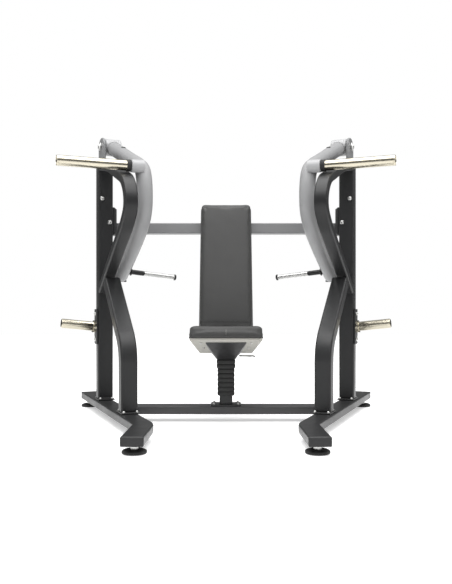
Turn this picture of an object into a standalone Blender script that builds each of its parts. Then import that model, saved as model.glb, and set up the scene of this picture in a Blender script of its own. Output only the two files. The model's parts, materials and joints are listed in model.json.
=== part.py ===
# Plate-loaded chest press machine, modelled in metres, +Z up.
# +X is to the right of someone looking at the front, +Y runs to the rear, and
# the origin is on the floor under the middle of the machine.
#
# Each side of the machine is a flat frame that stands on a base rail and is
# toed in: the two sides are wide apart at the rear and close at the front.
# A side frame has its own axes: s runs rearwards along the frame, o runs
# inwards across it, z is up.  An empty holds those axes on each side.

import bpy
import bmesh
import math
from mathutils import Matrix, Vector

# ---------------------------------------------------------------- dimensions
TOE = math.radians(22.4)       # each side frame is turned in by this angle
SIDE_X = 0.457                 # frame plane at the front upright
SIDE_Y = -0.1127               # front upright, measured from the origin
GAP = 0.0004                   # running gap left between neighbouring pieces

RAIL_W, RAIL_H = 0.092, 0.040  # flat base tubes
RAIL_Z = 0.037                 # underside of the base tubes
RAIL_FRONT = (0.362, -0.6877)
RAIL_BEND = (0.352, -0.3907)
RAIL_REAR = (0.790, 0.6736)

TUBE_W, TUBE_T = 0.080, 0.060  # upright tubes, across and along the frame
BOW_W, BOW_T = 0.062, 0.044    # bow tube
PLATE_T = 0.008                # welded foot plates of the uprights

POST_S = 0.4965                # rear post
POST_TOP = 1.335
PIVOT_S, PIVOT_Z = 0.690, 1.460
ARM_O = 0.086                  # arm plane, inside the frame plane
ARM_R = 0.038                  # round arm tube, 76 mm
HUB_R, HUB_LEN = 0.047, 0.086
SHAFT_R = 0.0150
BUSH_R = 0.0220

HORN_R = 0.0245                # weight horns
HORN_LEN = 0.322
HORN_S, HORN_Z = 0.018, 1.234
STORE_LEN, STORE_Z = 0.180, 0.464
STORE_TILT = math.radians(6.3)

BAR_Z, BAR_H, BAR_T = 1.000, 0.058, 0.080   # upper crossbar
BAR_Y = 0.5123
BAR_HALF = 0.672

LOW_Y, LOW_T = 0.1383, 0.100                # lower crossbar
SEAT_POST = 0.064
SEAT_TILT = math.radians(14.0)
SEAT_FRONT_Y, SEAT_FRONT_Z = -0.138, 0.487
SEAT_DEPTH, SEAT_THICK = 0.365, 0.058
SEAT_TRAVEL = 0.100

PAD_RECLINE = math.radians(15.0)
PAD_FOOT_Y, PAD_FOOT_Z = 0.243, 0.440
PAD_LEN, PAD_THICK = 0.715, 0.055
PAD_W_LOW, PAD_W_TOP = 0.282, 0.272

FOOT_R, FOOT_H = 0.050, 0.016

# --------------------------------------------------------------- scene set-up
for old in list(bpy.data.objects):
    bpy.data.objects.remove(old, do_unlink=True)

PARTS = bpy.data.collections.new("chest_press_machine")
CUTTERS = bpy.data.collections.new("cutters")
bpy.context.scene.collection.children.link(PARTS)
bpy.context.scene.collection.children.link(CUTTERS)


def material(name, colour, rough, metal):
    mat = bpy.data.materials.new(name)
    mat.use_nodes = True
    bsdf = mat.node_tree.nodes["Principled BSDF"]
    bsdf.inputs["Base Color"].default_value = (*colour, 1.0)
    bsdf.inputs["Roughness"].default_value = rough
    bsdf.inputs["Metallic"].default_value = metal
    mat.diffuse_color = (*colour, 1.0)
    return mat


M_FRAME = material("black_powder_coat", (0.030, 0.031, 0.033), 0.45, 0.0)
M_ARM = material("graphite_powder_coat", (0.110, 0.110, 0.114), 0.38, 0.3)
M_BAR = material("grey_powder_coat", (0.085, 0.086, 0.090), 0.42, 0.2)
M_CHROME = material("chrome", (0.72, 0.71, 0.67), 0.12, 1.0)
M_STEEL = material("bright_steel", (0.60, 0.60, 0.60), 0.28, 1.0)
M_RUBBER = material("black_rubber", (0.015, 0.015, 0.015), 0.75, 0.0)
M_PLASTIC = material("black_plastic", (0.020, 0.020, 0.021), 0.50, 0.0)
M_VINYL = material("charcoal_vinyl", (0.060, 0.060, 0.058), 0.52, 0.0)
M_BOARD = material("grey_board", (0.330, 0.325, 0.310), 0.70, 0.0)
M_BRONZE = material("bronze_bush", (0.45, 0.28, 0.10), 0.35, 1.0)


# --------------------------------------------------------------- small helpers
def link(obj, mat, parent=None, collection=PARTS):
    for c in list(obj.users_collection):
        c.objects.unlink(obj)
    collection.objects.link(obj)
    if mat is not None:
        obj.data.materials.clear()
        obj.data.materials.append(mat)
    if parent is not None:
        obj.parent = parent
    return obj


def empty(name, location, turn=0.0, parent=None):
    e = bpy.data.objects.new(name, None)
    e.location = location
    e.rotation_euler = (0.0, 0.0, turn)
    e.empty_display_size = 0.1
    if parent is not None:
        e.parent = parent
    PARTS.objects.link(e)
    return e


def from_bmesh(name, bm, mat, parent=None, collection=PARTS, smooth=False):
    bmesh.ops.recalc_face_normals(bm, faces=bm.faces[:])
    mesh = bpy.data.meshes.new(name)
    bm.to_mesh(mesh)
    bm.free()
    obj = bpy.data.objects.new(name, mesh)
    link(obj, mat, parent, collection)
    if smooth:
        mesh.shade_smooth()
        mesh.set_sharp_from_angle(angle=math.radians(35))
    return obj


def round_edges(obj, width, segments=2, angle=40):
    mod = obj.modifiers.new("rounded_edges", "BEVEL")
    mod.width = width
    mod.segments = segments
    mod.limit_method = "ANGLE"
    mod.angle_limit = math.radians(angle)
    mod.harden_normals = False
    return obj


def block(name, size, mat, parent=None, at=(0, 0, 0), spin=(0, 0, 0),
          edge=0.0, segments=2, collection=PARTS):
    bm = bmesh.new()
    bmesh.ops.create_cube(bm, size=1.0)
    bmesh.ops.scale(bm, vec=size, verts=bm.verts[:])
    obj = from_bmesh(name, bm, mat, parent, collection)
    obj.location = at
    obj.rotation_euler = spin
    if edge:
        round_edges(obj, edge, segments)
    return obj


def turned(name, profile, mat, parent=None, at=(0, 0, 0), direction=(0, 0, 1),
           steps=28, collection=PARTS, spin=0.0):
    """A turned solid: (radius, height) points, outer side from top to bottom."""
    mesh = bpy.data.meshes.new(name)
    closed = all(r > 1e-6 for r, _ in profile)
    n = len(profile)
    edges = [(i, i + 1) for i in range(n - 1)]
    if closed:
        edges.append((n - 1, 0))
    mesh.from_pydata([(r, 0.0, h) for r, h in profile], edges, [])
    obj = bpy.data.objects.new(name, mesh)
    link(obj, mat, parent, collection)
    mod = obj.modifiers.new("turn", "SCREW")
    mod.steps = steps
    mod.render_steps = steps
    mod.axis = "Z"
    mod.use_merge_vertices = True
    mod.merge_threshold = 0.00001
    mod.use_smooth_shade = steps > 8
    mod.use_normal_calculate = False
    obj.location = at
    quat = Vector((0, 0, 1)).rotation_difference(Vector(direction).normalized())
    obj.rotation_mode = "QUATERNION"
    obj.rotation_quaternion = quat @ Matrix.Rotation(spin, 4, "Z").to_quaternion()
    return obj


def rod(name, radius, length, mat, parent=None, at=(0, 0, 0),
        direction=(0, 0, 1), chamfer=0.0, steps=28, collection=PARTS):
    """A round bar that starts at a point and runs along a direction."""
    c = chamfer
    prof = [(0.0, length), (radius - c, length), (radius, length - c),
            (radius, c), (radius - c, 0.0), (0.0, 0.0)]
    if c == 0.0:
        prof = [(0.0, length), (radius, length), (radius, 0.0), (0.0, 0.0)]
    return turned(name, prof, mat, parent, at, direction, steps, collection)


def sleeve(name, outer, inner, length, mat, parent=None, at=(0, 0, 0),
           direction=(0, 0, 1), chamfer=0.0, steps=28):
    c = chamfer
    prof = [(inner, length), (outer - c, length), (outer, length - c),
            (outer, c), (outer - c, 0.0), (inner, 0.0)]
    if c == 0.0:
        prof = [(inner, length), (outer, length), (outer, 0.0), (inner, 0.0)]
    return turned(name, prof, mat, parent, at, direction, steps)


def smooth_path(points, per_span=4):
    """Catmull-Rom points through a list of (a, b) corners."""
    out = []
    n = len(points)
    for i in range(n - 1):
        p0 = points[max(i - 1, 0)]
        p1, p2 = points[i], points[i + 1]
        p3 = points[min(i + 2, n - 1)]
        for k in range(per_span):
            t = k / per_span
            out.append(tuple(
                0.5 * (2 * p1[j] + (p2[j] - p0[j]) * t
                       + (2 * p0[j] - 5 * p1[j] + 4 * p2[j] - p3[j]) * t * t
                       + (3 * p1[j] - p0[j] - 3 * p2[j] + p3[j]) * t ** 3)
                for j in range(len(p1))))
    out.append(tuple(points[-1]))
    return out


def rounded_corner(a, b, c, reach, steps=5):
    """Points of a curved bend at b, between the runs a-b and b-c."""
    a, b, c = Vector(a), Vector(b), Vector(c)
    p = b + (a - b).normalized() * reach
    q = b + (c - b).normalized() * reach
    return [tuple(p * (1 - t) ** 2 + b * 2 * t * (1 - t) + q * t * t)
            for t in [k / steps for k in range(steps + 1)]]


def ribbon_outline(path, width):
    """Closed outline of a strip of the given width along a flat path."""
    left, right = [], []
    n = len(path)
    for i, p in enumerate(path):
        a = Vector(path[max(i - 1, 0)])
        b = Vector(path[min(i + 1, n - 1)])
        d = (b - a).normalized()
        side = Vector((-d.y, d.x)) * (width / 2)
        left.append(tuple(Vector(p) + side))
        right.append(tuple(Vector(p) - side))
    return left + right[::-1]


def outline_solid(name, outline, depth, mat, parent=None, plane="XY",
                  offset=0.0, edge=0.0, segments=2, collection=PARTS,
                  angle=40):
    """A flat outline (2D curve, filled) with a thickness, made into a mesh."""
    curve = bpy.data.curves.new(name, "CURVE")
    curve.dimensions = "2D"
    curve.fill_mode = "BOTH"
    curve.extrude = depth / 2
    spline = curve.splines.new("POLY")
    spline.points.add(len(outline) - 1)
    for pt, (a, b) in zip(spline.points, outline):
        pt.co = (a, b, 0.0, 1.0)
    spline.use_cyclic_u = True
    tmp = bpy.data.objects.new(name + "_curve", curve)
    bpy.context.scene.collection.objects.link(tmp)
    bpy.context.view_layer.update()
    mesh = bpy.data.meshes.new_from_object(
        tmp.evaluated_get(bpy.context.evaluated_depsgraph_get()))
    bpy.data.objects.remove(tmp, do_unlink=True)
    bpy.data.curves.remove(curve)
    bm = bmesh.new()
    bm.from_mesh(mesh)
    bpy.data.meshes.remove(mesh)
    bmesh.ops.remove_doubles(bm, verts=bm.verts[:], dist=0.00002)
    bmesh.ops.dissolve_limit(bm, angle_limit=math.radians(0.5),
                             verts=bm.verts[:], edges=bm.edges[:])
    if plane == "XZ":          # outline lies in the s-z plane of a side frame
        bmesh.ops.transform(bm, matrix=Matrix.Rotation(math.pi / 2, 4, "X"),
                            verts=bm.verts[:])
        bmesh.ops.translate(bm, vec=(0, offset, 0), verts=bm.verts[:])
    else:
        bmesh.ops.translate(bm, vec=(0, 0, offset), verts=bm.verts[:])
    obj = from_bmesh(name, bm, mat, parent, collection)
    if edge:
        round_edges(obj, edge, segments, angle)
    return obj


def tube_mesh(name, path, radius, mat, parent=None, resolution=4,
              collection=PARTS):
    """A round tube along a 3D path, its caps welded on."""
    curve = bpy.data.curves.new(name, "CURVE")
    curve.dimensions = "3D"
    curve.bevel_depth = radius
    curve.bevel_resolution = resolution
    curve.use_fill_caps = True
    spline = curve.splines.new("POLY")
    spline.points.add(len(path) - 1)
    for pt, co in zip(spline.points, path):
        pt.co = (*co, 1.0)
    tmp = bpy.data.objects.new(name + "_curve", curve)
    bpy.context.scene.collection.objects.link(tmp)
    bpy.context.view_layer.update()
    mesh = bpy.data.meshes.new_from_object(
        tmp.evaluated_get(bpy.context.evaluated_depsgraph_get()))
    bpy.data.objects.remove(tmp, do_unlink=True)
    bpy.data.curves.remove(curve)
    bm = bmesh.new()
    bm.from_mesh(mesh)
    bpy.data.meshes.remove(mesh)
    bmesh.ops.remove_doubles(bm, verts=bm.verts[:], dist=0.00002)
    return from_bmesh(name, bm, mat, parent, collection, smooth=True)


def boolean(obj, cutter, operation="DIFFERENCE"):
    cutter.hide_render = True
    cutter.display_type = "WIRE"
    mod = obj.modifiers.new("join" if operation == "UNION" else "cut", "BOOLEAN")
    mod.operation = operation
    mod.object = cutter
    mod.solver = "EXACT"
    return mod


# ------------------------------------------------------------- the side frames
# (s, z) shapes of the bent tubes
UPRIGHT_PATH = ([(0.0, RAIL_Z + RAIL_H + PLATE_T / 2 + GAP)]
                + rounded_corner((0.0, 0.10), (0.0, 0.385), (0.300, 0.668), 0.075)
                + [(0.3355, 0.7014)])
BOW_CORNERS = [(0.4640, 0.6580), (0.330, 0.7440), (0.200, 0.8240),
               (0.070, 0.9030), (-0.020, 0.9610), (-0.078, 1.0250),
               (-0.074, 1.0950), (-0.018, 1.1600), (0.090, 1.2030),
               (0.280, 1.2700), (0.4640, 1.3080)]
ARM_CORNERS = [(PIVOT_S - 0.010, PIVOT_Z - 0.004), (0.560, 1.415),
               (0.460, 1.380), (0.335, 1.334), (0.235, 1.298), (0.140, 1.264),
               (0.056, 1.222), (0.022, 1.140), (0.026, 1.040), (0.074, 0.970),
               (0.155, 0.914), (0.250, 0.860), (0.370, 0.797), (0.484, 0.737)]

BOW_PATH = smooth_path(BOW_CORNERS, 2)
ARM_PATH = smooth_path(ARM_CORNERS, 2)
ARM_END_DIR = (Vector((*ARM_CORNERS[-1],)) - Vector((*ARM_CORNERS[-2],))).normalized()

for hand, m in (("right", 1), ("left", -1)):
    # m is +1 on the right and -1 on the left, where o runs the other way
    side = empty("side_frame_" + hand, (m * SIDE_X, SIDE_Y, 0.0),
                 math.pi / 2 - m * TOE)
    pivot = empty("arm_pivot_" + hand, (PIVOT_S, m * ARM_O, PIVOT_Z),
                  parent=side)
    # geometry of the arm is drawn about the frame axes and hung on the pivot
    arm_home = empty("arm_home_" + hand, (-PIVOT_S, -m * ARM_O, -PIVOT_Z),
                     parent=pivot)

    def so(s, o, z):
        return (s, m * o, z)

    # base rail, bent in plan: world outline, on the floor's axes
    rail_path = ([(m * RAIL_FRONT[0], RAIL_FRONT[1])]
                 + rounded_corner((m * RAIL_FRONT[0], RAIL_FRONT[1]),
                                  (m * RAIL_BEND[0], RAIL_BEND[1]),
                                  (m * RAIL_REAR[0], RAIL_REAR[1]), 0.035, 3)
                 + [(m * RAIL_REAR[0], RAIL_REAR[1])])
    rail = outline_solid("base_rail_" + hand, ribbon_outline(rail_path, RAIL_W),
                         RAIL_H, M_FRAME, edge=0.007, segments=2,
                         offset=RAIL_Z + RAIL_H / 2)

    # plastic plugs in the two ends of the rail
    for end, p, q in (("front", RAIL_FRONT, RAIL_BEND), ("rear", RAIL_REAR, RAIL_BEND)):
        d = Vector((m * (p[0] - q[0]), p[1] - q[1])).normalized()
        c = Vector((m * p[0], p[1])) + d * (0.004 + GAP)
        block("rail_cap_%s_%s" % (end, hand), (0.008, RAIL_W - 0.001, RAIL_H - 0.001),
              M_PLASTIC, None, (c.x, c.y, RAIL_Z + RAIL_H / 2),
              (0, 0, math.atan2(d.y, d.x)), edge=0.0030, segments=1)

    # levelling feet: a threaded stem with a hexagon, and a rubber pad
    for end, fx, fy in (("front", 0.360, -0.6277), ("rear", 0.773, 0.6160)):
        turned("foot_pad_%s_%s" % (end, hand),
               [(0.0, FOOT_H), (FOOT_R - 0.010, FOOT_H), (FOOT_R - 0.002, FOOT_H - 0.004),
                (FOOT_R, FOOT_H - 0.007), (FOOT_R, 0.003), (FOOT_R - 0.003, 0.0), (0.0, 0.0)],
               M_RUBBER, None, (m * fx, fy, 0.0), steps=28)
        turned("foot_stem_%s_%s" % (end, hand),
               [(0.0, RAIL_Z - GAP), (0.0085, RAIL_Z - GAP), (0.0085, FOOT_H + 0.012),
                (0.0165, FOOT_H + 0.012), (0.0165, FOOT_H + GAP), (0.0, FOOT_H + GAP)],
               M_STEEL, None, (m * fx, fy, 0.0), steps=12)

    # foot plates and uprights
    foot_z = RAIL_Z + RAIL_H + GAP + PLATE_T / 2
    upright = outline_solid("front_upright_" + hand,
                            ribbon_outline(UPRIGHT_PATH, TUBE_T), TUBE_W, M_FRAME,
                            side, "XZ", 0.0, edge=0.009, segments=2, angle=50)
    weld = block("front_foot_plate_" + hand, (0.110, TUBE_W + 0.006, PLATE_T), None,
                 side, so(0.0, 0.0, foot_z), edge=0.002, segments=1, collection=CUTTERS)
    boolean(upright, weld, "UNION")

    post_base = RAIL_Z + RAIL_H + PLATE_T / 2 + GAP
    post = block("rear_post_" + hand, (TUBE_T, TUBE_W, POST_TOP - post_base), M_FRAME,
                 side, so(POST_S, 0.0, (POST_TOP + post_base) / 2), edge=0.009, segments=2)
    weld = block("rear_foot_plate_" + hand, (0.110, TUBE_W + 0.006, PLATE_T), None,
                 side, so(POST_S, 0.0, foot_z), edge=0.002, segments=1, collection=CUTTERS)
    boolean(post, weld, "UNION")

    # bow tube between the bottom and the top of the rear post, trimmed where
    # it meets the post and notched where the front upright joins it
    bow = outline_solid("bow_tube_" + hand, ribbon_outline(BOW_PATH, BOW_T), BOW_W,
                        M_FRAME, side, "XZ", -m * 0.009, edge=0.008, segments=2,
                        angle=50)
    cut = block("bow_trim_" + hand, (0.20, 0.2, 1.2), None, side,
                so(POST_S - TUBE_T / 2 - GAP + 0.10, 0.0, 1.0), collection=CUTTERS)
    boolean(bow, cut)
    band = outline_solid("upright_trim_" + hand,
                         ribbon_outline(smooth_path([(0.520, 0.6214)] + BOW_CORNERS[:5], 2),
                                        BOW_T + 2 * GAP),
                         0.30, None, side, "XZ", 0.0, collection=CUTTERS)
    boolean(upright, band)

    # pivot bracket: a plate behind the rear post that carries the arm's shaft
    plate_profile = [(POST_S + TUBE_T / 2 + GAP, 1.120), (0.560, 1.120),
                     (PIVOT_S + 0.062, PIVOT_Z - 0.060)]
    plate_profile += [(PIVOT_S + 0.064 * math.cos(t), PIVOT_Z + 0.050 * math.sin(t))
                      for t in [math.pi * k / 10 for k in range(11)]]
    plate_profile += [(PIVOT_S - 0.064, 1.385), (0.600, 1.362), (POST_S + TUBE_T / 2 + GAP, 1.325)]
    bracket = outline_solid("pivot_bracket_" + hand, plate_profile, 0.014, M_BAR, side,
                            "XZ", m * 0.030, edge=0.0025, segments=1)
    cut = rod("bracket_bore_" + hand, SHAFT_R + 0.0005, 0.10, None, side,
              so(PIVOT_S, 0.0, PIVOT_Z), (0, m, 0), collection=CUTTERS)
    boolean(bracket, cut)

    # pivot shaft with its head, and the bronze bush in the hub
    shaft_in = 0.037 + GAP
    head = ARM_O + HUB_LEN / 2 + GAP - 0.016
    turned("pivot_shaft_" + hand,
           [(0.0, head + 0.010), (0.021, head + 0.010), (0.024, head + 0.007), (0.024, head),
            (SHAFT_R, head), (SHAFT_R, 0.002), (SHAFT_R - 0.002, 0.0), (0.0, 0.0)],
           M_STEEL, side, so(PIVOT_S, 0.016, PIVOT_Z), (0, m, 0), steps=24)
    sleeve("hub_bush_" + hand, BUSH_R, SHAFT_R + 0.0004, HUB_LEN, M_BRONZE,
           arm_home, so(PIVOT_S, ARM_O - HUB_LEN / 2, PIVOT_Z), (0, m, 0), steps=24)

    # the swinging arm: bent round tube welded to a hub, with a boss for the horn
    arm = tube_mesh("press_arm_" + hand,
                    [so(s, ARM_O, z) for s, z in ARM_PATH], ARM_R, M_ARM, arm_home)
    hub = rod("arm_hub_" + hand, HUB_R, HUB_LEN, None, arm_home,
              so(PIVOT_S, ARM_O - HUB_LEN / 2, PIVOT_Z), (0, m, 0), steps=28,
              collection=CUTTERS)
    boolean(arm, hub, "UNION")
    boss = rod("horn_boss_" + hand, 0.0310, 0.062, None, arm_home,
               so(HORN_S, 0.0185, HORN_Z), (0, m, 0), steps=24,
               collection=CUTTERS)
    boolean(arm, boss, "UNION")
    bore = rod("hub_bore_" + hand, BUSH_R + 0.0004, 0.20, None, arm_home,
               so(PIVOT_S, ARM_O - 0.10, PIVOT_Z), (0, m, 0), steps=24,
               collection=CUTTERS)
    boolean(arm, bore)

    # domed plug in the lower end of the arm tube
    e = ARM_END_DIR
    turned("arm_end_plug_" + hand,
           [(0.0, 0.012), (0.018, 0.0105), (0.030, 0.0070), (0.0365, 0.0020), (0.0370, 0.0),
            (0.0, 0.0)],
           M_ARM, arm_home,
           so(ARM_CORNERS[-1][0] + e[0] * GAP, ARM_O, ARM_CORNERS[-1][1] + e[1] * GAP),
           (e[0], 0, e[1]), steps=24)

    # weight horn on the outer side of the arm, its rubber collar and end cap
    horn_root = 0.0185 - GAP
    turned("horn_collar_" + hand,
           [(0.0, 0.022), (0.027, 0.022), (0.0285, 0.020), (0.0285, 0.002), (0.0265, 0.0),
            (0.0, 0.0)],
           M_RUBBER, arm_home, so(HORN_S, horn_root, HORN_Z), (0, -m, 0), steps=24)
    turned("weight_horn_" + hand,
           [(0.0, HORN_LEN), (HORN_R - 0.005, HORN_LEN), (HORN_R - 0.0015, HORN_LEN - 0.0015),
            (HORN_R, HORN_LEN - 0.005), (HORN_R, 0.0), (0.0, 0.0)],
           M_CHROME, arm_home, so(HORN_S, horn_root - 0.022 - GAP, HORN_Z), (0, -m, 0), steps=28)

    # handle: a bracket under the arm's lower end, a bar and a grip
    hd = Vector((0.0, m * math.cos(math.radians(6.2)), -math.sin(math.radians(6.2))))
    h0 = Vector((0.440, m * (ARM_O + 0.0405), 0.7545))
    turned("handle_bar_" + hand,
           [(0.0, 0.254), (0.0135, 0.254), (0.0160, 0.251), (0.0160, 0.245), (0.0085, 0.245),
            (0.0085, 0.0740), (0.0130, 0.0725), (0.0130, 0.006), (0.020, 0.006), (0.020, 0.0),
            (0.0, 0.0)],
           M_FRAME, arm_home, h0, hd, steps=20)
    sleeve("handle_grip_" + hand, 0.0125, 0.0089, 0.169, M_STEEL, arm_home,
           h0 + hd * 0.0754, hd, chamfer=0.0015, steps=20)

    # rubber stop that the lower end of the arm rests on, and its bracket
    sd = Vector((e[0], 0, e[1]))
    end = Vector(so(ARM_CORNERS[-1][0], ARM_O, ARM_CORNERS[-1][1])) + sd * (0.0126 + GAP)
    turned("stop_bumper_" + hand,
           [(0.0, 0.012), (0.018, 0.012), (0.018, 0.002), (0.016, 0.0), (0.0, 0.0)],
           M_RUBBER, side, end, sd, steps=20)
    tilt = math.atan2(-e[1], e[0])
    plate_c = end + sd * (0.012 + GAP + 0.004)
    weld = block("stop_bracket_" + hand, (0.008, 0.0900, 0.046), None, side,
                 (plate_c.x, m * (TUBE_W / 2 + 0.0350), plate_c.z), (0, tilt, 0),
                 edge=0.0015, segments=1, collection=CUTTERS)
    boolean(post, weld, "UNION")

    # plate storage horn on the outer face of the rear post
    face_o = -(TUBE_W / 2 + GAP)
    flange = block("storage_flange_" + hand, (0.058, 0.008, 0.185), M_FRAME, side,
                   so(POST_S, face_o - 0.004, STORE_Z), edge=0.0025, segments=1)
    sdv = Vector((0, -m * math.cos(STORE_TILT), math.sin(STORE_TILT)))
    horn = turned("storage_horn_" + hand,
                  [(0.0, STORE_LEN), (HORN_R - 0.005, STORE_LEN),
                   (HORN_R - 0.0015, STORE_LEN - 0.0015),
                   (HORN_R, STORE_LEN - 0.005), (HORN_R, 0.014), (0.032, 0.014),
                   (0.032, -0.012), (0.0, -0.012)],
                  M_CHROME, side, so(POST_S, face_o - 0.008, STORE_Z), sdv, steps=28)
    cut = block("storage_trim_" + hand, (0.2, 0.1, 0.4), None, side,
                so(POST_S, face_o - 0.008 - GAP + 0.05, STORE_Z), collection=CUTTERS)
    boolean(horn, cut)

    # wedge bracket between the rear post and the upper crossbar, in plan
    T = TOE
    def world(s, o):
        return (m * (SIDE_X + s * math.sin(T) - o * math.cos(T)),
                SIDE_Y + s * math.cos(T) + o * math.sin(T))
    rear_s = POST_S + TUBE_T / 2 + GAP
    bar_face = BAR_Y - BAR_T / 2 - GAP
    p_out = world(rear_s, -0.038)
    p_in = world(rear_s, 0.062)
    outline_solid("crossbar_bracket_" + hand,
                  [p_out, p_in, (p_in[0], bar_face), (m * 0.668, bar_face)],
                  0.150, M_FRAME, offset=BAR_Z + 0.030, edge=0.003, segments=1)

# ------------------------------------------------------------------- crossbars
block("upper_crossbar", (2 * BAR_HALF, BAR_T, BAR_H), M_BAR, None,
      (0, BAR_Y, BAR_Z), edge=0.007, segments=2)

low_half = 0.640
low = block("lower_crossbar", (2 * low_half, LOW_T, RAIL_H), M_BAR, None,
            (0, LOW_Y, RAIL_Z + RAIL_H / 2), edge=0.006, segments=2)
for hand, m in (("right", 1), ("left", -1)):
    d = Vector((m * (RAIL_REAR[0] - RAIL_BEND[0]), RAIL_REAR[1] - RAIL_BEND[1])).normalized()
    normal = Vector((m * d.y * m, -m * d.x * 1.0)) if m > 0 else Vector((-d.y, d.x))
    normal = Vector((m * abs(d.y), -abs(d.x)))     # outwards, square to the rail
    mid = Vector((m * RAIL_BEND[0], RAIL_BEND[1])) + d * 0.60
    c = mid + normal * (0.20 - RAIL_W / 2 - GAP)
    cut = block("low_trim_" + hand, (1.2, 0.40, 0.3), None, None,
                (c.x, c.y, RAIL_Z), (0, 0, math.atan2(d.y, d.x)), collection=CUTTERS)
    boolean(low, cut)

# -------------------------------------------------------------- seat and post
top = RAIL_Z + RAIL_H
weld = block("seat_post_plate", (0.150, 0.094, 0.008), None, None,
             (0, LOW_Y, top + GAP + 0.004), edge=0.002, segments=1, collection=CUTTERS)
post_z0, post_z1 = top + 0.004, 0.262
outer_tube = block("seat_post_outer", (SEAT_POST, SEAT_POST, post_z1 - post_z0), M_FRAME,
                   None, (0, LOW_Y, (post_z0 + post_z1) / 2), edge=0.005, segments=1)
cut = block("post_hollow", (0.054, 0.054, 0.4), None, None, (0, LOW_Y, 0.2),
            collection=CUTTERS)
boolean(outer_tube, cut)
boolean(outer_tube, weld, "UNION")

seat = empty("seat_slide", (0, LOW_Y, 0.0))
inner_tube = block("seat_post_inner", (0.0525, 0.0525, 0.210), M_STEEL, seat,
                   (0, 0, 0.120 + 0.105), edge=0.003, segments=1)
cut = block("inner_hollow", (0.044, 0.044, 0.4), None, seat, (0, 0, 0.15),
            collection=CUTTERS)
boolean(inner_tube, cut)

# gas spring inside the posts: a cylinder with a blind bore, and its rod
turned("gas_spring_cylinder",
       [(0.0, 0.008), (0.0062, 0.008), (0.0062, 0.150), (0.0140, 0.150), (0.0140, 0.0),
        (0.0, 0.0)],
       M_PLASTIC, None, (0, LOW_Y, top + 0.008 + 2 * GAP), steps=16)
rod("gas_spring_rod", 0.0056, 0.200, M_STEEL, seat, (0, 0, 0.124), steps=12)

# pleated square bellows round the posts: a ring of folds, thin walled
fold = []
z_top, z_low, folds = 0.3080, 0.1270, 8
pitch = (z_top - z_low) / folds
R2 = math.sqrt(2)
half_out, half_in, half_bore = 0.0425, 0.0395, 0.0345
for k in range(folds):
    z = z_top - k * pitch
    grow = 0.004 if k < 2 else 0.0
    fold += [((half_out + grow) * R2, z - 0.0004 if k else z),
             ((half_out + grow) * R2, z - pitch * 0.70),
             ((half_in + grow) * R2, z - pitch * 0.78),
             ((half_in + grow) * R2, z - pitch * 0.96)]
fold += [(half_bore * R2, z_low), (half_bore * R2, z_top)]
turned("seat_bellows", fold, M_RUBBER, None, (0, LOW_Y, 0.0), steps=4, spin=math.pi / 4)

# seat carriage: a tapered housing from the post up to the seat board
ct, st = math.cos(SEAT_TILT), math.sin(SEAT_TILT)
def seat_point(depth, drop):
    """World (y, z) of a point a given depth back along the seat and below its top."""
    return (SEAT_FRONT_Y + depth * ct - drop * st, SEAT_FRONT_Z - depth * st - drop * ct)

BOARD_T = 0.012
board_drop = SEAT_THICK + GAP
under = board_drop + BOARD_T + GAP
bm = bmesh.new()
bmesh.ops.create_cube(bm, size=1.0)
low_z = 0.3086
front = seat_point(0.052, under)
rear = seat_point(0.338, under)
for v in bm.verts:
    upper = v.co.z > 0
    fr = v.co.y < 0
    sx = 1 if v.co.x > 0 else -1
    if upper:
        y, z = front if fr else rear
        v.co = (sx * (0.100 if fr else 0.078), y - LOW_Y, z)
    else:
        z_here = low_z
        v.co = (sx * 0.0455, (-0.052 if fr else 0.046), z_here)
carriage = from_bmesh("seat_carriage", bm, M_PLASTIC, seat)
round_edges(carriage, 0.005, 2)
cut = block("carriage_socket", (0.0533, 0.0533, 0.090), None, seat, (0, 0, 0.3060),
            collection=CUTTERS)
boolean(carriage, cut)

def seat_slab(name, drop0, thick, d0, d1, wf, wr, mat, edge, segs):
    """A tapered slab in the seat's tilted plane, wide at the front."""
    bm = bmesh.new()
    bmesh.ops.create_cube(bm, size=1.0)
    for v in bm.verts:
        dep = d0 if v.co.y < 0 else d1
        half = (wf if v.co.y < 0 else wr) / 2
        drop = drop0 if v.co.z > 0 else drop0 + thick
        y, z = seat_point(dep, drop)
        v.co = ((half if v.co.x > 0 else -half), y - LOW_Y, z)
    obj = from_bmesh(name, bm, mat, seat)
    round_edges(obj, edge, segs)
    return obj

seat_slab("seat_cushion", 0.0, SEAT_THICK, 0.0, SEAT_DEPTH, 0.350, 0.285, M_VINYL, 0.012, 2)
seat_slab("seat_board", board_drop, BOARD_T, 0.008, SEAT_DEPTH - 0.008, 0.338, 0.268,
          M_BOARD, 0.002, 1)

# seat height lever, on a pin at the right side of the carriage
lev = empty("lever_pivot", (0.0, 0.020, 0.322), parent=seat)
tube_mesh("seat_lever", [(0.0660, 0.0, 0.0), (0.1000, 0.0, 0.0), (0.1180, -0.004, 0.0),
                         (0.1300, -0.014, 0.0005), (0.1360, -0.030, 0.001),
                         (0.1380, -0.070, 0.003), (0.1380, -0.115, 0.006)],
          0.0050, M_STEEL, lev, resolution=1)

# -------------------------------------------------------------------- back pad
cr, sr = math.cos(PAD_RECLINE), math.sin(PAD_RECLINE)
def pad_point(up, back):
    """World (y, z) of a point a given way up the pad's front and behind it."""
    return (PAD_FOOT_Y + up * sr + back * cr, PAD_FOOT_Z + up * cr - back * sr)

def pad_slab(name, back0, thick, u0, u1, w_low, w_top, mat, edge, segs):
    bm = bmesh.new()
    bmesh.ops.create_cube(bm, size=1.0)
    for v in bm.verts:
        up = u0 if v.co.z < 0 else u1
        half = (w_low if v.co.z < 0 else w_top) / 2
        back = back0 if v.co.y < 0 else back0 + thick
        y, z = pad_point(up, back)
        v.co = ((half if v.co.x > 0 else -half), y, z)
    obj = from_bmesh(name, bm, mat)
    round_edges(obj, edge, segs)
    return obj

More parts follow.
